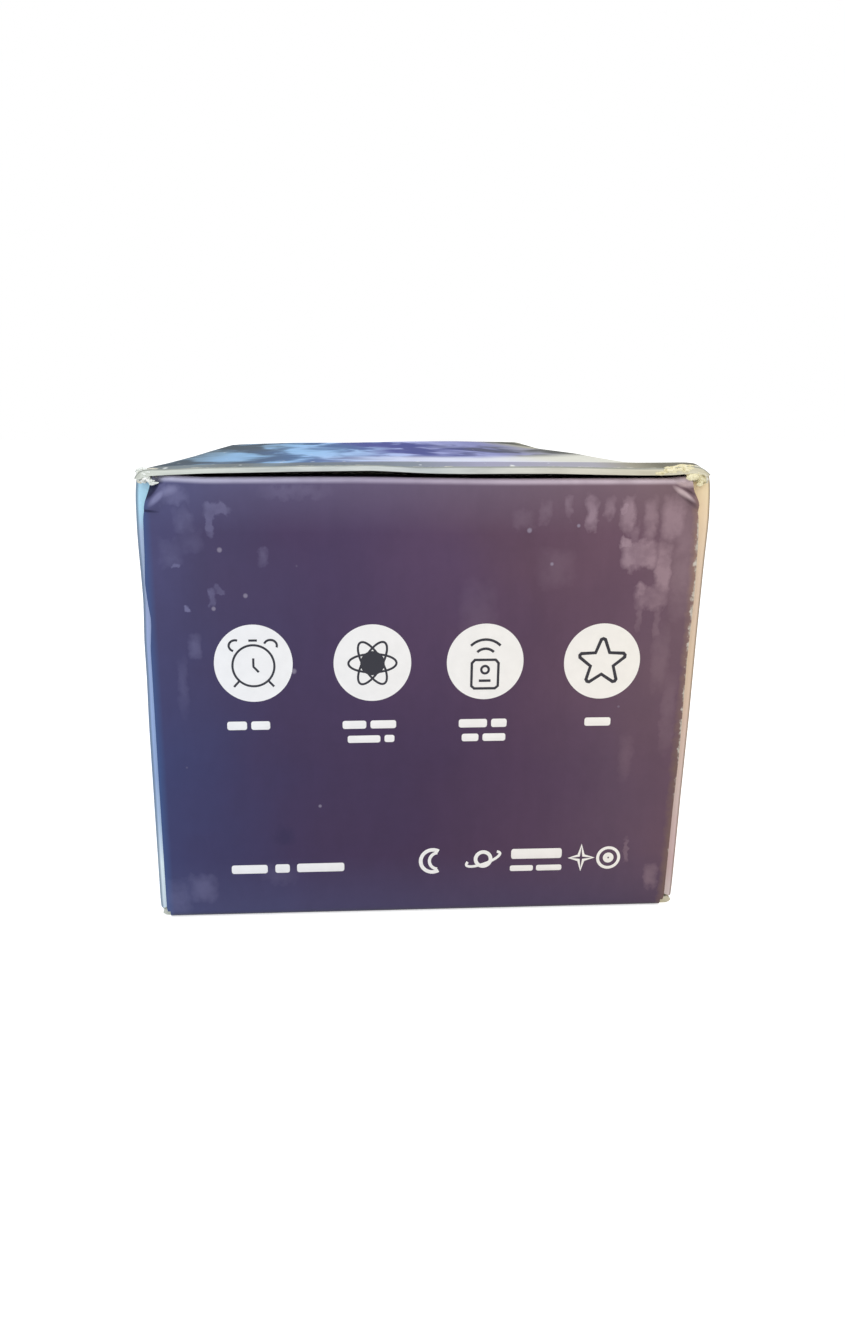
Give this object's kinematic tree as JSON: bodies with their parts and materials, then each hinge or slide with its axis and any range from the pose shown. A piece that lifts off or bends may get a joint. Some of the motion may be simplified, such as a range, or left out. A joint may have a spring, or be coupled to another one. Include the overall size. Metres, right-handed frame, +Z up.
{
  "type": "boxed star night light projector",
  "caption": "Straight tuck carton with hinged end closures that holds a tilting star and nebula projector, its remote control, board cradles and a leaflet.",
  "frame": {"origin": "under the middle of the closed carton, on the surface that it stands on", "axes": "+Z up; -Y towards the printed end closure, which is the front; +X to the right of someone facing that end"},
  "size_m": [0.13, 0.245, 0.11],
  "materials": {
    "printed_board": "satin",
    "plain_board": "matte",
    "leaflet_paper": "matte",
    "white_abs": "satin",
    "navy_abs": "satin",
    "black_abs": "satin",
    "clear_acrylic": "gloss",
    "nebula_film": "gloss",
    "circuit_board": "satin",
    "components": "satin",
    "led_phosphor": "gloss",
    "steel": "satin",
    "ballast_iron": "matte",
    "aluminium": "satin",
    "brass": "satin",
    "smoked_acrylic": "gloss",
    "silicone": "matte",
    "acetal": "satin"
  },
  "bodies": {
    "root": {"bottom_panel": "printed_board", "top_panel": "printed_board", "left_panel": "printed_board", "right_panel": "printed_board", "glue_flap": "printed_board", "front_cradle": "plain_board", "rear_cradle": "plain_board", "instruction_leaflet": "leaflet_paper", "base_shell": "white_abs", "base_cover": "navy_abs", "base_feet": "silicone", "housing_screws": "steel", "ballast_weight": "ballast_iron", "control_board": "circuit_board", "board_components": "components", "board_screws": "steel", "power_inlet": "steel", "receiver_window": "smoked_acrylic", "button_board": "circuit_board", "button_switches": "components", "yoke": "navy_abs", "pivot_screws": "steel", "remote_lower_shell": "white_abs", "remote_upper_shell": "white_abs", "remote_board": "circuit_board", "remote_led": "smoked_acrylic"},
    "head": {"head_lower_shell": "white_abs", "head_upper_shell": "white_abs", "lens_dome": "clear_acrylic", "dome_retainer": "black_abs", "optical_bracket": "black_abs", "bracket_screws": "steel", "disc_axle": "steel", "led_board": "circuit_board", "led_emitters": "led_phosphor", "heat_sink": "aluminium", "motor_can": "steel", "laser_module": "brass", "star_grating": "smoked_acrylic"},
    "nebula_disc": {"nebula_disc": "nebula_film"},
    "motor_pinion": {"motor_pinion": "acetal", "motor_shaft": "steel"},
    "power_button": {"power_button": "navy_abs"},
    "mode_button": {"mode_button": "navy_abs"},
    "timer_button": {"timer_button": "navy_abs"},
    "battery_drawer": {"battery_drawer": "white_abs", "coin_cell": "steel"},
    "remote_key_1": {"remote_key_1": "silicone"},
    "remote_key_2": {"remote_key_2": "silicone"},
    "remote_key_3": {"remote_key_3": "silicone"},
    "remote_key_4": {"remote_key_4": "silicone"},
    "front_closure": {"front_closure": "printed_board"},
    "front_tuck_flap": {"front_tuck_flap": "printed_board"},
    "front_left_dust_flap": {"front_left_dust_flap": "printed_board"},
    "front_right_dust_flap": {"front_right_dust_flap": "printed_board"},
    "rear_closure": {"rear_closure": "printed_board"},
    "rear_tuck_flap": {"rear_tuck_flap": "printed_board"},
    "rear_left_dust_flap": {"rear_left_dust_flap": "printed_board"},
    "rear_right_dust_flap": {"rear_right_dust_flap": "printed_board"}
  },
  "joints": [
    {"name": "front_closure_fold", "type": "hinge", "parent": "root", "child": "front_closure", "pos_m": [0, -0.1217, 0.0008], "axis": [1, 0, 0], "range_deg": [0, 90]},
    {"name": "front_tuck_fold", "type": "hinge", "parent": "front_closure", "child": "front_tuck_flap", "pos_m": [0, -0.1217, 0.1066], "axis": [-1, 0, 0], "range_deg": [0, 36]},
    {"name": "front_left_dust_flap_fold", "type": "hinge", "parent": "root", "child": "front_left_dust_flap", "pos_m": [-0.0642, -0.1198, 0.055], "axis": [0, 0, -1], "range_deg": [0, 40.5]},
    {"name": "front_right_dust_flap_fold", "type": "hinge", "parent": "root", "child": "front_right_dust_flap", "pos_m": [0.0642, -0.1198, 0.055], "axis": [0, 0, 1], "range_deg": [0, 40.5]},
    {"name": "rear_closure_fold", "type": "hinge", "parent": "root", "child": "rear_closure", "pos_m": [0, 0.1217, 0.0008], "axis": [-1, 0, 0], "range_deg": [0, 90]},
    {"name": "rear_tuck_fold", "type": "hinge", "parent": "rear_closure", "child": "rear_tuck_flap", "pos_m": [0, 0.1217, 0.1066], "axis": [1, 0, 0], "range_deg": [0, 36]},
    {"name": "rear_left_dust_flap_fold", "type": "hinge", "parent": "root", "child": "rear_left_dust_flap", "pos_m": [-0.0642, 0.1198, 0.055], "axis": [0, 0, 1], "range_deg": [0, 40.5]},
    {"name": "rear_right_dust_flap_fold", "type": "hinge", "parent": "root", "child": "rear_right_dust_flap", "pos_m": [0.0642, 0.1198, 0.055], "axis": [0, 0, -1], "range_deg": [0, 40.5]},
    {"name": "head_tilt", "type": "hinge", "parent": "root", "child": "head", "pos_m": [0, -0.0555, 0.055], "axis": [1, 0, 0], "range_deg": [-60, 60]},
    {"name": "nebula_disc_spin", "type": "hinge", "parent": "head", "child": "nebula_disc", "pos_m": [0, -0.0555, 0.055], "axis": [0, -1, 0], "continuous": true},
    {"name": "motor_pinion_spin", "type": "hinge", "parent": "head", "child": "motor_pinion", "pos_m": [0.02217, -0.0555, 0.0678], "axis": [0, -1, 0], "continuous": true},
    {"name": "power_button_press", "type": "slide", "parent": "root", "child": "power_button", "axis": [0, 0, -1], "range_m": [0, 0.0006], "stiffness_N_per_m": 250},
    {"name": "mode_button_press", "type": "slide", "parent": "root", "child": "mode_button", "axis": [0, 0, -1], "range_m": [0, 0.0006], "stiffness_N_per_m": 250},
    {"name": "timer_button_press", "type": "slide", "parent": "root", "child": "timer_button", "axis": [0, 0, -1], "range_m": [0, 0.0006], "stiffness_N_per_m": 250},
    {"name": "remote_key_1_press", "type": "slide", "parent": "root", "child": "remote_key_1", "axis": [0, 0, -1], "range_m": [0, 0.0005], "stiffness_N_per_m": 200},
    {"name": "remote_key_2_press", "type": "slide", "parent": "root", "child": "remote_key_2", "axis": [0, 0, -1], "range_m": [0, 0.0005], "stiffness_N_per_m": 200},
    {"name": "remote_key_3_press", "type": "slide", "parent": "root", "child": "remote_key_3", "axis": [0, 0, -1], "range_m": [0, 0.0005], "stiffness_N_per_m": 200},
    {"name": "remote_key_4_press", "type": "slide", "parent": "root", "child": "remote_key_4", "axis": [0, 0, -1], "range_m": [0, 0.0005], "stiffness_N_per_m": 200},
    {"name": "battery_drawer_slide", "type": "slide", "parent": "root", "child": "battery_drawer", "axis": [0, 1, 0], "range_m": [0, 0.024]}
  ],
  "couplings": [
    {"joint": "front_tuck_fold", "follows": "front_closure_fold", "ratio": 0.4},
    {"joint": "front_left_dust_flap_fold", "follows": "front_closure_fold", "ratio": 0.45},
    {"joint": "front_right_dust_flap_fold", "follows": "front_closure_fold", "ratio": 0.45},
    {"joint": "rear_tuck_fold", "follows": "rear_closure_fold", "ratio": 0.4},
    {"joint": "rear_left_dust_flap_fold", "follows": "rear_closure_fold", "ratio": 0.45},
    {"joint": "rear_right_dust_flap_fold", "follows": "rear_closure_fold", "ratio": 0.45},
    {"joint": "motor_pinion_spin", "follows": "nebula_disc_spin", "ratio": -3}
  ]
}
